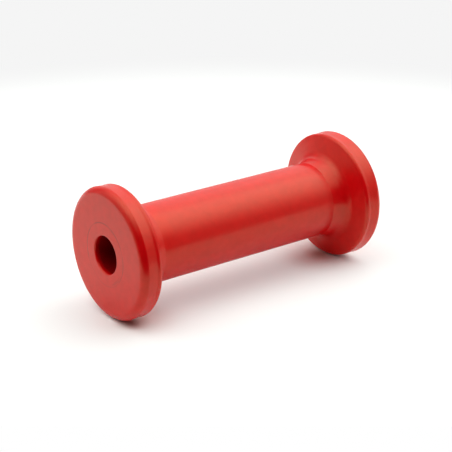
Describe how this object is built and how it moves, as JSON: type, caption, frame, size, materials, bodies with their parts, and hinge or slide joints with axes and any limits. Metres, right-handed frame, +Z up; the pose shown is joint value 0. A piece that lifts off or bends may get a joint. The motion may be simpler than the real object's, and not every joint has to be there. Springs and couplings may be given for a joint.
{
  "type": "boat trailer roller",
  "caption": "Red moulded polyurethane keel roller for a boat trailer: a plain barrel between flared, round-edged end flanges, with a through bore for its spindle.",
  "frame": {"origin": "centre of the lower end face, on the spindle axis", "axes": "+Z up along the spindle axis, with the roller standing on one end; X and Y are two radial directions, which are alike on this round part"},
  "size_m": [0.089, 0.089, 0.2],
  "materials": {
    "polyurethane": "satin as moulded, solid red, faintly mottled"
  },
  "bodies": {
    "root": {"keel_roller": "polyurethane"}
  },
  "joints": []
}
